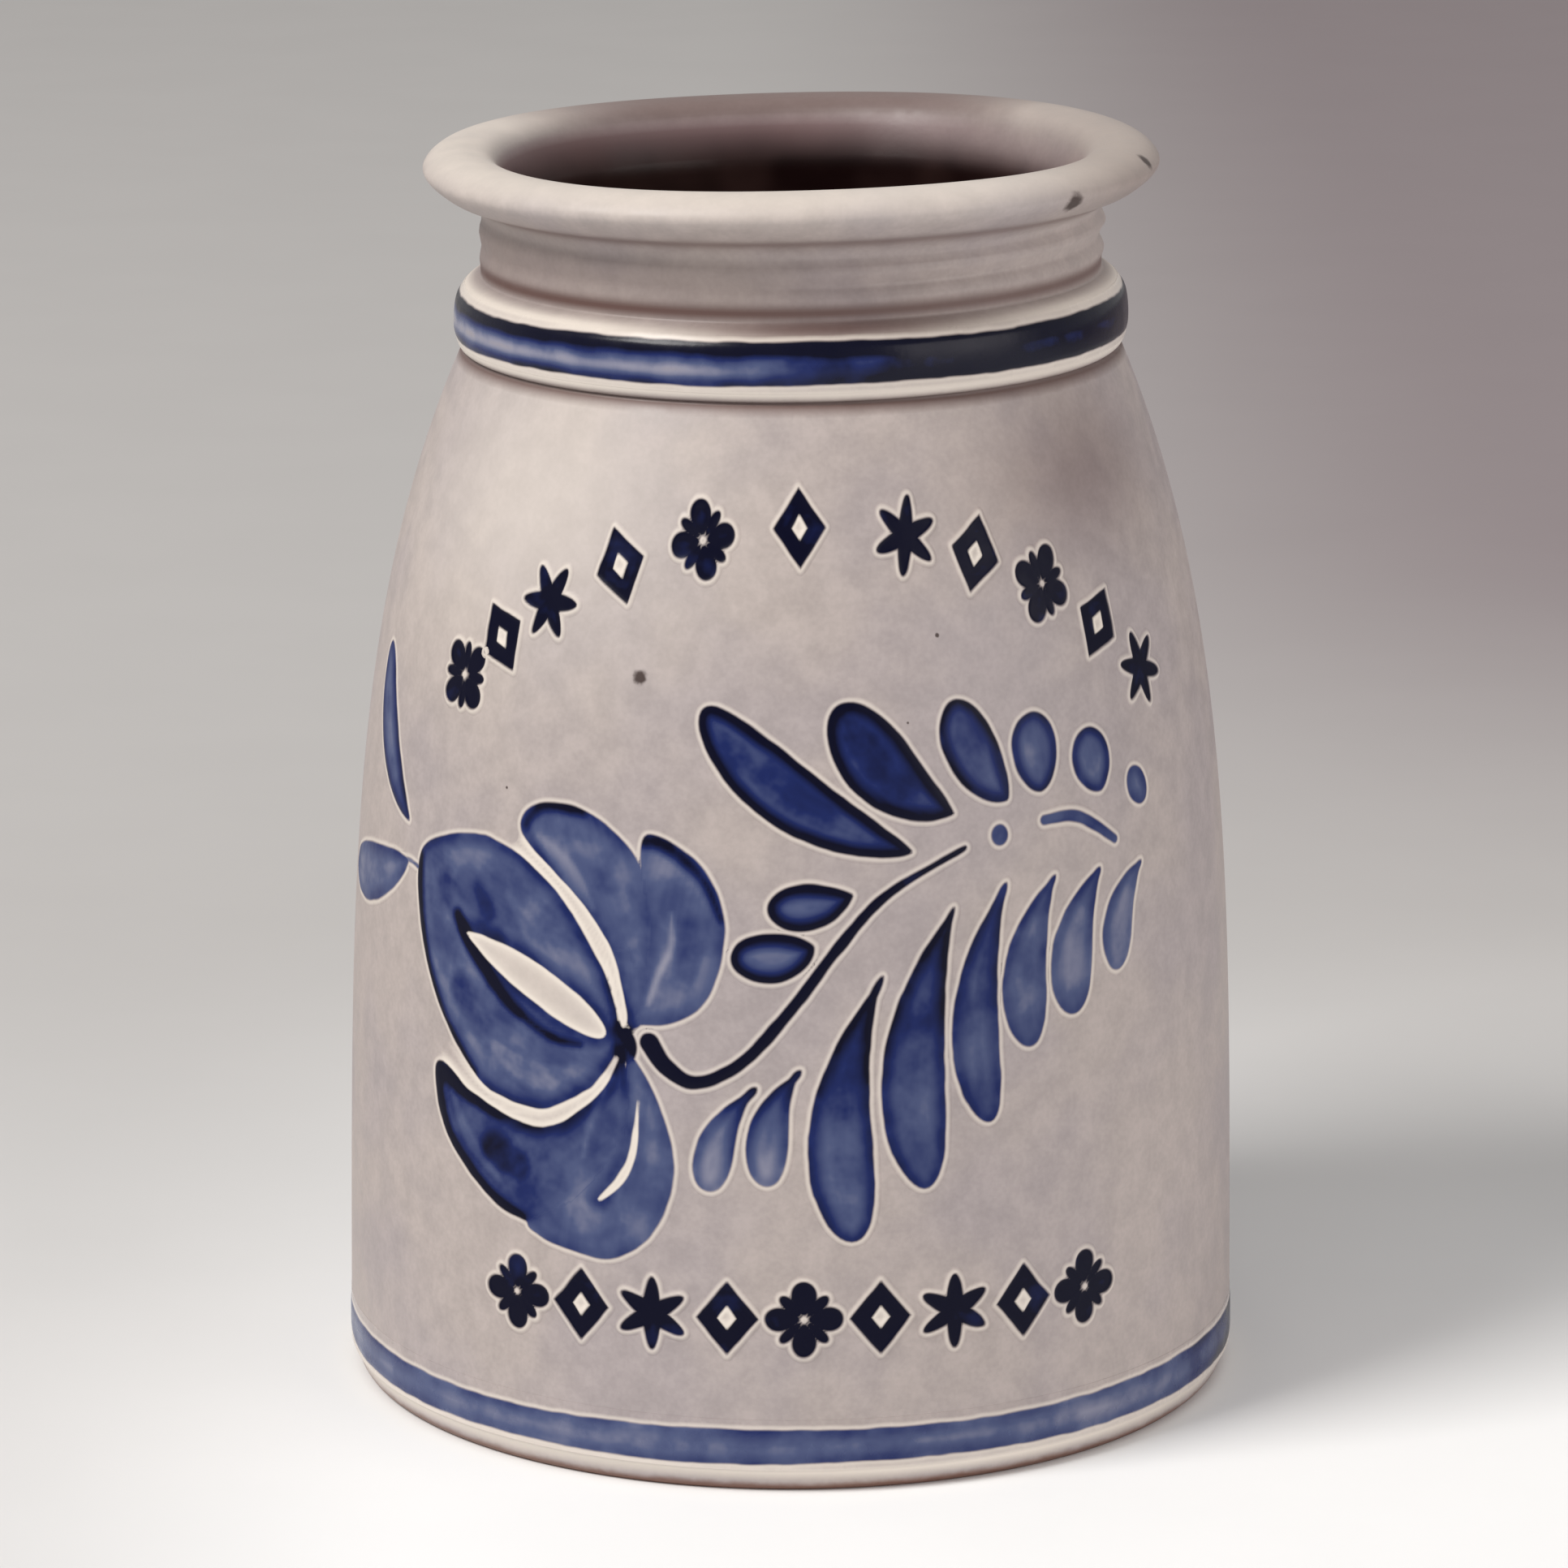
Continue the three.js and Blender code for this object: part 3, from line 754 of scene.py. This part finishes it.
def unglazed_buff_stoneware():
    """Pressed buff stoneware, fired bare: dry, sandy, with dark grog specks."""
    material, tree, spot = started("unglazed_buff_stoneware")
    if tree is None:
        return material
    colours = bpy.context.scene.crock_colours
    clouds = noise(tree, spot, 14, 4.0)
    grog = add_node(tree, "ShaderNodeTexVoronoi", {"Vector": spot, "Scale": per(2.4)}).outputs[0]
    sand = noise(tree, spot, 0.8, 3.0)
    colour = mixed(tree, ranged(tree, clouds, 0.35, 0.65), list(colours.weight_clay), linear("#AF987C"))
    colour = mixed(tree, ranged(tree, grog, 0.06, 0.16, 0.6, 0.0), colour, list(colours.iron))
    bump = add_node(tree, "ShaderNodeBump", {"Strength": 0.5, "Distance": 0.15 * MM, "Height": sand})
    bare = add_node(
        tree, "ShaderNodeBsdfPrincipled",
        {"Base Color": colour, "Roughness": 0.85, "IOR": 1.5, "Normal": bump.outputs[0]},
    )
    add_node(tree, "ShaderNodeOutputMaterial", {0: bare.outputs[0]})
    return material


def paper_with_painted_falloff():
    """Matt studio paper, white in front and grey behind, darker to the right and at the left front: painted
    light falloff and painted shade.
    """
    material, tree, spot = started("paper_with_painted_falloff")
    if tree is None:
        return material
    colours = bpy.context.scene.crock_colours
    split = add_node(tree, "ShaderNodeSeparateXYZ", {0: spot}).outputs
    # Painted shade: the paper behind grows darker to the right, away from the softbox.
    right_shade = ranged(tree, split[0], -0.05, 0.26)
    right_shade = reckoned(tree, "MULTIPLY", right_shade, ranged(tree, split[1], 0.22, 0.8))
    back = mixed(tree, right_shade, list(colours.paper_back_shade), list(colours.paper_far_right_shade))
    # Painted shade: the paper in front darkens at the left.
    front = mixed(tree, ranged(tree, split[0], -0.17, -0.06, 0.5, 0.0), list(colours.paper_front), back)
    colour = mixed(tree, ranged(tree, split[1], -0.1, 0.35), front, back)
    fibre = noise(tree, spot, 60, 5.0)
    tone = add_node(tree, "ShaderNodeCombineColor", {
        i: ranged(tree, fibre, 0.3, 0.7, 0.985, 1.0) for i in range(3)
    }).outputs[0]
    paper = add_node(
        tree, "ShaderNodeBsdfPrincipled",
        {"Base Color": mixed(tree, 1.0, colour, tone, "MULTIPLY"), "Roughness": 0.9, "IOR": 1.4},
    )
    add_node(tree, "ShaderNodeOutputMaterial", {0: paper.outputs[0]})
    return material


# ---------- pieces ----------

BEAD = [
    (63.3, SHOULDER_HEIGHT - 0.2), (64.7, 206.5), (65.4, 208.8), (65.5, 212.5), (64.9, 216), (63.2, 218.6),
    (60.4, 220.2),
]
LIP = [
    (60.4, 227), (61, 233.6), (67.5, 236.8), (71.4, 240.8), (68.6, 244.2), (63, 245), (57.6, 242.6),
    (THROAT_RADIUS, 233),
]


def vessel_section():
    """The whole section of the crock, from the middle of its foot, up outside and down inside."""
    lower = np.linspace(FOOT_TOP, SHOULDER_HEIGHT - 0.6, 96)
    wall = np.column_stack([wall_radius(lower), lower])
    foot = smooth_line([(FOOT_RADIUS, 0), (FOOT_RADIUS + 1.3, 1.2), (FOOT_RADIUS + 1.9, 3.4), wall[0]], 8)
    neck = smooth_line([BEAD[-1], LIP[0]], 16)[1:-1]
    lip = smooth_line(LIP, 52)
    upper = np.vstack([smooth_line(BEAD, 26), neck, lip])
    inner_top = SHOULDER_HEIGHT - 6
    inner = np.linspace(inner_top, FLOOR + FLOOR_CORNER, 40)
    inner_wall = np.column_stack([wall_radius(inner) - WALL, inner])
    throat = smooth_line([LIP[-1], (THROAT_RADIUS, 214), (THROAT_RADIUS + 1.2, 207), inner_wall[0]], 16)[1:-1]
    turn = np.linspace(0, -math.pi / 2, 10)[1:]
    centre = wall_radius(FLOOR + FLOOR_CORNER) - WALL - FLOOR_CORNER
    corner = np.column_stack([
        centre + FLOOR_CORNER * np.cos(turn), FLOOR + FLOOR_CORNER + FLOOR_CORNER * np.sin(turn)
    ])
    under = [(r, 0) for r in (0, 30, 60, FOOT_RADIUS - 4)]
    inner_floor = [(r, FLOOR) for r in (45, 22, 0)]
    return np.vstack([under, foot[:-1], wall, upper, throat, inner_wall, corner, inner_floor])


def liner_share(points):
    """How much each point shows the liner slip: none outside and all inside, but less high on the right of
    the inside, where the paler clay is painted light.
    """
    turn, radius, up = round_places(points)
    limit = np.where(up < SHOULDER_HEIGHT, wall_radius(up) - WALL / 2, 57.2)
    # Painted light: the liner gives way to paler clay high on the inner right wall, where the light falls.
    thin = 0.85 * np.exp(-(((turn - 2.0) / 0.6) ** 2)) * smoothstep(233, 241, up)
    inward = smoothstep(-0.6, 0.9, limit - radius)
    return inward * smoothstep(HEIGHT - 1.0, HEIGHT - 6.0, up) * (up > 1) * (1 - thin)


# Pale rows of (height, half width, strength): thin glaze over the foot and under the shoulder band, and a
# painted highlight on the top of the bead and of the lip.
PALE_AND_HIGHLIGHT_ROWS = [(4.0, 1.3, 0.95), (207.4, 1.1, 0.8), (218.4, 1.0, 0.9), (HEIGHT + 1, 4.5, 0.6)]
# Brown rows: glaze pooled in the groove under the bead together with painted shade there, painted shade above
# the bead, and a painted shadow under the lip.
BROWN_AND_SHADE_ROWS = [(205.2, 0.7, 0.9), (221.8, 1.5, 0.8), (235.2, 1.1, 0.55)]


def rows_of(up, rows):
    """Adds up soft rows of (height, half width, strength)."""
    return sum(strength * np.exp(-(((up - height) / half) ** 2)) for height, half, strength in rows)


def on_one_side(turn, low, high):
    """Grows round the crock from low to high and fades again before the back, which so has no seam."""
    return smoothstep(low, high, turn) * smoothstep(math.pi, 1.8, np.abs(turn))


def glaze_marks_and_painted_light(points):
    """Pale and brown on the glaze outside: pale where it ran thin, brown where it pooled in a groove.

    A painted highlight lies on the tops of the bead and the lip, and a painted sheen on the left shoulder.
    Painted shade lies above the bead, under the lip, on the neck, on the lip's right and on the right
    shoulder. The back of the rim is darker brown.
    """
    turn, radius, up = round_places(points)
    # Painted sheen: a pale patch on the upper left shoulder, where the light falls most.
    left_shoulder_sheen = 0.42 * np.exp(-(((turn + 0.75) / 0.5) ** 2) - ((up - 186) / 30) ** 2)
    rim = 0.75 * smoothstep(0.35, 0.95, -np.cos(turn))
    rim = rim * smoothstep(237, 240, up) * smoothstep(70.5, 67, radius)
    # Painted shade: a brown patch on the right shoulder, which turns away from the light.
    shoulder = 0.5 * np.exp(-(((turn - 0.88) / 0.36) ** 2) - ((up - 189) / 15) ** 2)
    # Painted shade: a dark plum band on the neck just above the bead, at the front.
    shade_above_bead = 0.85 * np.exp(-(((turn - 0.12) / 0.5) ** 2) - ((up - 219.2) / 2.0) ** 2)
    # Painted shade: the lip darkens on its right side.
    end = 0.42 * on_one_side(turn, 0.5, 1.2) * smoothstep(234, 238, up)
    # Painted shade: the lip's shadow on the neck, deeper at the left.
    neck = (0.3 - 0.2 * np.sin(turn)) * np.exp(-(((up - 227) / 6.5) ** 2))
    pale = np.clip(np.maximum(rows_of(up, PALE_AND_HIGHLIGHT_ROWS), left_shoulder_sheen), 0, 1) * (1 - shade_above_bead)
    brown = np.clip(np.max([rows_of(up, BROWN_AND_SHADE_ROWS) + neck, rim, shoulder, shade_above_bead, end], axis=0), 0, 1)
    return {"pale": pale * (1 - rim), "brown": brown}


class CROCK_OT_make_vessel(bpy.types.Operator):
    """Turn the crock: one body, from its flat foot over the rolled lip to the floor inside."""

    bl_idname = "crock.make_vessel"
    bl_label = "Vessel"

    def execute(self, context):
        bm = spun(vessel_section(), TURN_STEPS)
        ideal = where(bm)
        inside = liner_share(ideal)
        store(bm, "inside", inside)
        for name, values in glaze_marks_and_painted_light(ideal).items():
            store(bm, name, values * (1 - inside))
        place(bm, ideal)
        glaze = salt_glazed_stoneware()
        finish_piece("crock_body", bm, glaze, "crock", ["crock_vessel"])
        return {"FINISHED"}


def ring_of_slip(run, low_edge, high_edge, load_of, pool, relief):
    """A closed ring of slip over a run of the crock's outside, its edges wandering as the wheel turned."""
    run = np.asarray(run, float)
    tangent = np.gradient(run, axis=0)
    normal = np.column_stack([tangent[:, 1], -tangent[:, 0]]) / np.linalg.norm(tangent, axis=1)[:, None]
    section = np.vstack([run, (run - 0.4 * normal)[::-1], run[:1]])
    bm = spun(section, TURN_STEPS)
    bmesh.ops.remove_doubles(bm, verts=bm.verts, dist=1e-3)
    bmesh.ops.recalc_face_normals(bm, faces=bm.faces)
    ideal = where(bm)
    turn, radius, up = round_places(ideal)
    gaps = np.hypot(radius[:, None] - run[None, :, 0], up[:, None] - run[None, :, 1])
    row = gaps.argmin(1)
    outer = gaps.min(1) < 0.02
    reach = np.minimum(up - low_edge(turn), high_edge(turn) - up)
    lift = np.where(outer, 0.04 + relief * smoothstep(-0.3, 1.0, reach), 0)
    away = normal[row] * lift[:, None]
    store(bm, "edge", reach)
    store(bm, "load", load_of(turn, up))
    store(bm, "pool", np.full(len(ideal), pool))
    store(bm, "across", up)
    store(bm, "along", turn * BELLY_RADIUS)
    for name, values in glaze_marks_and_painted_light(ideal).items():
        store(bm, name, values)
    scale = (radius + away[:, 0]) / radius
    place(bm, np.column_stack([ideal[:, 0] * scale, ideal[:, 1] * scale, up + away[:, 1]]))
    sharpen(bm)
    return bm


class CROCK_OT_make_bands(bpy.types.Operator):
    """Band the crock on the wheel: one line of cobalt on the shoulder ring and one above the foot."""

    bl_idname = "crock.make_bands"
    bl_label = "Bands"

    def execute(self, context):
        relief = context.scene.crock_sizes.slip_relief / MM
        cobalt = cobalt_slip_under_thick_glaze()
        low, high = BASE_BAND_LOW.z / MM, BASE_BAND_HIGH.z / MM
        heights = np.linspace(low - 1.2, high + 1.6, 28)
        base = ring_of_slip(
            np.column_stack([wall_radius(heights), heights]),
            lambda turn: low + 0.25 * np.sin(3 * turn + 0.5) + 0.15 * np.sin(7 * turn),
            lambda turn: high - 0.7 + 0.55 * np.sin(turn + 0.2) + 0.25 * np.sin(5 * turn + 2),
            lambda turn, up: 0.5 + 0.05 * np.sin(5 * turn + 1) + 0.28 * on_one_side(turn, 0.9, 1.4),
            0.5, relief,
        )
        finish_piece("base_band", base, cobalt, "crock", ["base_band_slip"])
        bead = smooth_line(BEAD, 80)
        bead = bead[(bead[:, 1] > 207.6) & (bead[:, 1] < 218.4)]
        shoulder = ring_of_slip(
            bead,
            lambda turn: 209.0 + 0.25 * np.sin(2 * turn + 1) + 0.12 * np.sin(6 * turn),
            lambda turn: 217.0 + 0.25 * np.sin(3 * turn + 2) + 0.1 * np.sin(8 * turn),
            lambda turn, up: (
                0.72 + 0.03 * np.sin(5 * turn) + 0.32 * smoothstep(213.2, 216, up)
                + 0.3 * on_one_side(turn, -0.1, 0.7)
                # Painted highlight: the load dips along the middle of the band on its left, where the softbox
                # glints.
                - 0.44 * on_one_side(turn, 0.15, -0.45) * np.exp(-(((up - 211.8) / 1.5) ** 2))
            ),
            0.6, relief,
        )
        finish_piece("shoulder_band", shoulder, cobalt, "crock", ["shoulder_band_slip"])
        return {"FINISHED"}


class CROCK_OT_make_painting(bpy.types.Operator):
    """Brush the spray on the front: the flower, its stem and berries, and the two rows of leaves."""

    bl_idname = "crock.make_painting"
    bl_label = "Painting"

    def execute(self, context):
        cobalt = cobalt_slip_under_glaze()
        petals = [FRONT_PETAL, TALL_PETAL, RIGHT_PETAL, PETAL_JOIN, LOW_PETAL, LOW_LOBE, HEART_DAB]
        add_painting(
            "flower", petals, cobalt, ["flower_slip"], cut=[FRONT_WINDOW, PETAL_GAP, LOW_GAP, LOW_VEIN],
            thin=THIN_PULLS, full=FULL_PULLS,
        )
        add_painting("stem", [STEM], cobalt, ["stem_slip"], pitch=0.45)
        sprays = {
            "berry": BERRIES, "upper_leaf": UPPER_LEAVES, "hanging_leaf": HANGING_LEAVES,
            "side_leaf": SIDE_LEAVES,
        }
        for kind, marks in sprays.items():
            for i, mark in enumerate(marks, 1):
                add_painting(f"{kind}_{i}", [mark], cobalt, [f"{kind}_slip_{i}"], pitch=0.5)
        for i, mark in enumerate(DABS, 1):
            add_painting(f"dab_{i}", [mark], cobalt, pitch=0.4)
        return {"FINISHED"}


def rosette(centre, turn, size):
    """Four broad leaves, with a small one between each pair."""
    marks = []
    for eighth in range(8):
        angle = turn + eighth * math.pi / 4
        way = np.array([math.cos(angle), math.sin(angle)])
        reach, width = ((0.53, 0.34), (0.45, 0.16))[eighth % 2]
        tip, end = centre + way * size * 0.05, centre + way * size * reach
        marks.append(leaf(tip, end, size * width, 0, 0.6, 0.97, 0.3))
    return marks, []


def diamond(centre, turn, half_width, half_height):
    corners = np.array([(half_width, 0), (0, half_height), (-half_width, 0), (0, -half_height)])
    spin = np.array([[math.cos(turn), -math.sin(turn)], [math.sin(turn), math.cos(turn)]])
    return Mark(corners @ spin.T + centre, [centre - [1, 0], centre + [1, 0]], 0.97, 0.3)


def lozenge(centre, turn, size):
    """A diamond with an open middle."""
    hole = diamond(centre, turn, size * 0.13, size * 0.17)
    return [diamond(centre, turn, size * 0.42, size * 0.52)], [hole]


def star(centre, turn, size):
    """Six points, from three crossed strokes."""
    marks = []
    for third in range(3):
        angle = turn + math.pi / 2 + third * math.pi / 3
        way = np.array([math.cos(angle), math.sin(angle)]) * size * 0.52
        marks.append(leaf(centre - way, centre + way, size * 0.25, 0, 0.5, 0.97, 0.3, tail=0.5))
    return marks, []


ORNAMENTS = (rosette, lozenge, star, lozenge)


def stamped(name, places, material):
    """One row of impressed ornaments, each filled with cobalt and edged with the clay it pushed up."""
    row = bmesh.new()
    one_mesh = bpy.data.meshes.new(name + "_one")
    for i, (centre, turn, size) in enumerate(places):
        marks, cut = ORNAMENTS[i % len(ORNAMENTS)](np.array(centre, float), turn, size)
        one = skin_of_slip(marks, 0.4, pressed_lift, cut=cut)
        one.to_mesh(one_mesh)
        one.free()
        row.from_mesh(one_mesh)
    bpy.data.meshes.remove(one_mesh)
    place(row, wrapped(where(row)))
    return finish_piece(name, row, material, "crock")


STAMP_SIZE = 14
ARC_CENTRE = np.array([4.2, 65.3])
ARC_RADIUS = 118.5
ARC_ANGLES = (-43.7, -37.3, -30.3, -21.3, -11.7, -1.1, 10.6, 18.8, 27.4, 35.8, 43.7)


class CROCK_OT_make_stamps(bpy.types.Operator):
    """Press the two rows of small ornaments by hand: an arc over the spray and a level row under it."""

    bl_idname = "crock.make_stamps"
    bl_label = "Stamps"

    def execute(self, context):
        cobalt = cobalt_slip_under_glaze()
        arc = []
        for degrees in ARC_ANGLES:
            lean = math.radians(degrees)
            middle = ARC_CENTRE + ARC_RADIUS * np.array([math.sin(lean), math.cos(lean)])
            arc.append((middle, -lean, STAMP_SIZE))
        stamped("stamped_arc", arc, cobalt)
        row = [((across, 34.8), 0, STAMP_SIZE) for across in np.linspace(-56, 61, 9)]
        stamped("stamped_row", row, cobalt)
        return {"FINISHED"}


NOTCH_RADIUS = 11


def arc_of(radius, start, end, count):
    return [(radius * math.cos(a), radius * math.sin(a)) for a in np.linspace(start, end, count)]


class CROCK_OT_make_weights(bpy.types.Operator):
    """Cut the two half-moon weights and lay them on the floor of the crock."""

    bl_idname = "crock.make_weights"
    bl_label = "Weights"

    def execute(self, context):
        clay = unglazed_buff_stoneware()
        radius = WEIGHT_HIGH.x
        split = WEIGHT_LOW.x
        notch = NOTCH_RADIUS * MM
        edge = context.scene.crock_sizes.weight_edge
        for side, name, body in ((1, "weight_right", "right_weight"), (-1, "weight_left", "left_weight")):
            rim_turn, notch_turn = math.acos(split / radius), math.acos(split / notch)
            rim = arc_of(radius, -rim_turn, rim_turn, 65)
            bite = arc_of(notch, notch_turn, -notch_turn, 33)
            bm = bmesh.new()
            ring = [bm.verts.new((side * x, side * y, WEIGHT_LOW.z)) for x, y in rim + bite]
            bottom = bm.faces.new(ring)
            sides = bmesh.ops.extrude_face_region(bm, geom=[bottom], use_keep_orig=True)["geom"]
            top = [v for v in sides if isinstance(v, bmesh.types.BMVert)]
            bmesh.ops.translate(bm, verts=top, vec=(0, 0, WEIGHT_HIGH.z - WEIGHT_LOW.z))
            bmesh.ops.recalc_face_normals(bm, faces=bm.faces)
            level = [e for e in bm.edges if abs(e.verts[0].co.z - e.verts[1].co.z) < 1e-7]
            bmesh.ops.bevel(
                bm, geom=level, offset=edge, segments=4, profile=0.5, affect="EDGES", material=-1,
                clamp_overlap=True,
            )
            finish_piece(name + "_stone", bm, clay, body, [name])
        return {"FINISHED"}


# ---------- stage ----------

CAMERA_DISTANCE = 5.3
CAMERA_HEIGHT = 1.814
CAMERA_PITCH = math.radians(14.17)
CAMERA_LENS = 155.24
CAMERA_SIDE = -0.0013
WORLD_LIGHT = 0.45


def add_softbox(name, where_at, aim, size, power, colour):
    light = bpy.data.lights.new(name, "AREA")
    light.shape = "RECTANGLE"
    light.size, light.size_y = size
    light.energy = power
    light.color = linear(colour)[:3]
    box = bpy.data.objects.new(name, light)
    bpy.context.scene.collection.objects.link(box)
    box.location = where_at
    way = np.array(aim, float) - np.array(where_at, float)
    flat = math.hypot(way[0], way[1])
    box.rotation_euler = (math.atan2(flat, -way[2]), 0, math.atan2(-way[0], way[1]))
    return box


class CROCK_OT_make_stage(bpy.types.Operator):
    """Set the studio: paper with painted light falloff, a big softbox at the left, a dim fill, and the
    camera.
    """

    bl_idname = "crock.make_stage"
    bl_label = "Stage"

    def execute(self, context):
        bm = bmesh.new()
        bmesh.ops.create_grid(bm, x_segments=8, y_segments=8, size=6)
        mesh = bpy.data.meshes.new("studio_floor")
        bm.to_mesh(mesh)
        bm.free()
        mesh.materials.append(paper_with_painted_falloff())
        floor = bpy.data.objects.new("studio_floor", mesh)
        context.scene.collection.objects.link(floor)
        middle = (0, 0, VESSEL_HIGH.z / 2)
        add_softbox("softbox_left", (-2.5, -1.5, 3.3), middle, (1.6, 1.6), 150, "#FFFCF8")
        add_softbox("softbox_right", (2.5, -1.5, 0.9), middle, (2.4, 1.6), 26, "#FFF8F6")
        world = bpy.data.worlds.new("studio")
        context.scene.world = world
        world.use_nodes = True
        sky = world.node_tree.nodes["Background"]
        sky.inputs[0].default_value = linear("#FFFDFB")
        sky.inputs[1].default_value = WORLD_LIGHT
        lens = bpy.data.cameras.new("camera")
        lens.lens = CAMERA_LENS
        lens.sensor_width = 36
        lens.clip_end = 50
        camera = bpy.data.objects.new("camera", lens)
        context.scene.collection.objects.link(camera)
        tall = HEIGHT * MM
        camera.location = (CAMERA_SIDE, -CAMERA_DISTANCE * tall, CAMERA_HEIGHT * tall)
        camera.rotation_euler = (math.pi / 2 - CAMERA_PITCH, 0, 0)
        context.scene.camera = camera
        context.scene.view_settings.view_transform = "Standard"
        return {"FINISHED"}


OPERATORS = (
    CROCK_OT_make_vessel, CROCK_OT_make_bands, CROCK_OT_make_painting, CROCK_OT_make_stamps,
    CROCK_OT_make_weights, CROCK_OT_make_stage,
)


class CROCK_PT_panel(bpy.types.Panel):
    """Everything that makes the crock."""

    bl_label = "Crock"
    bl_idname = "CROCK_PT_panel"
    bl_space_type = "VIEW_3D"
    bl_region_type = "UI"
    bl_category = "Crock"

    def draw(self, context):
        for group in (context.scene.crock_sizes, context.scene.crock_colours):
            for name in group.__annotations__:
                self.layout.prop(group, name)
        for operator in OPERATORS:
            self.layout.operator(operator.bl_idname)


CLASSES = (CrockSizes, CrockColours, *OPERATORS, CROCK_PT_panel)


def register():
    for cls in CLASSES:
        bpy.utils.register_class(cls)
    bpy.types.Scene.crock_sizes = bpy.props.PointerProperty(type=CrockSizes)
    bpy.types.Scene.crock_colours = bpy.props.PointerProperty(type=CrockColours)


def unregister():
    del bpy.types.Scene.crock_colours
    del bpy.types.Scene.crock_sizes
    for cls in reversed(CLASSES):
        bpy.utils.unregister_class(cls)


def main():
    register()
    for name in ("make_vessel", "make_bands", "make_painting", "make_stamps", "make_weights", "make_stage"):
        getattr(bpy.ops.crock, name)()


if __name__ == "__main__":
    main()
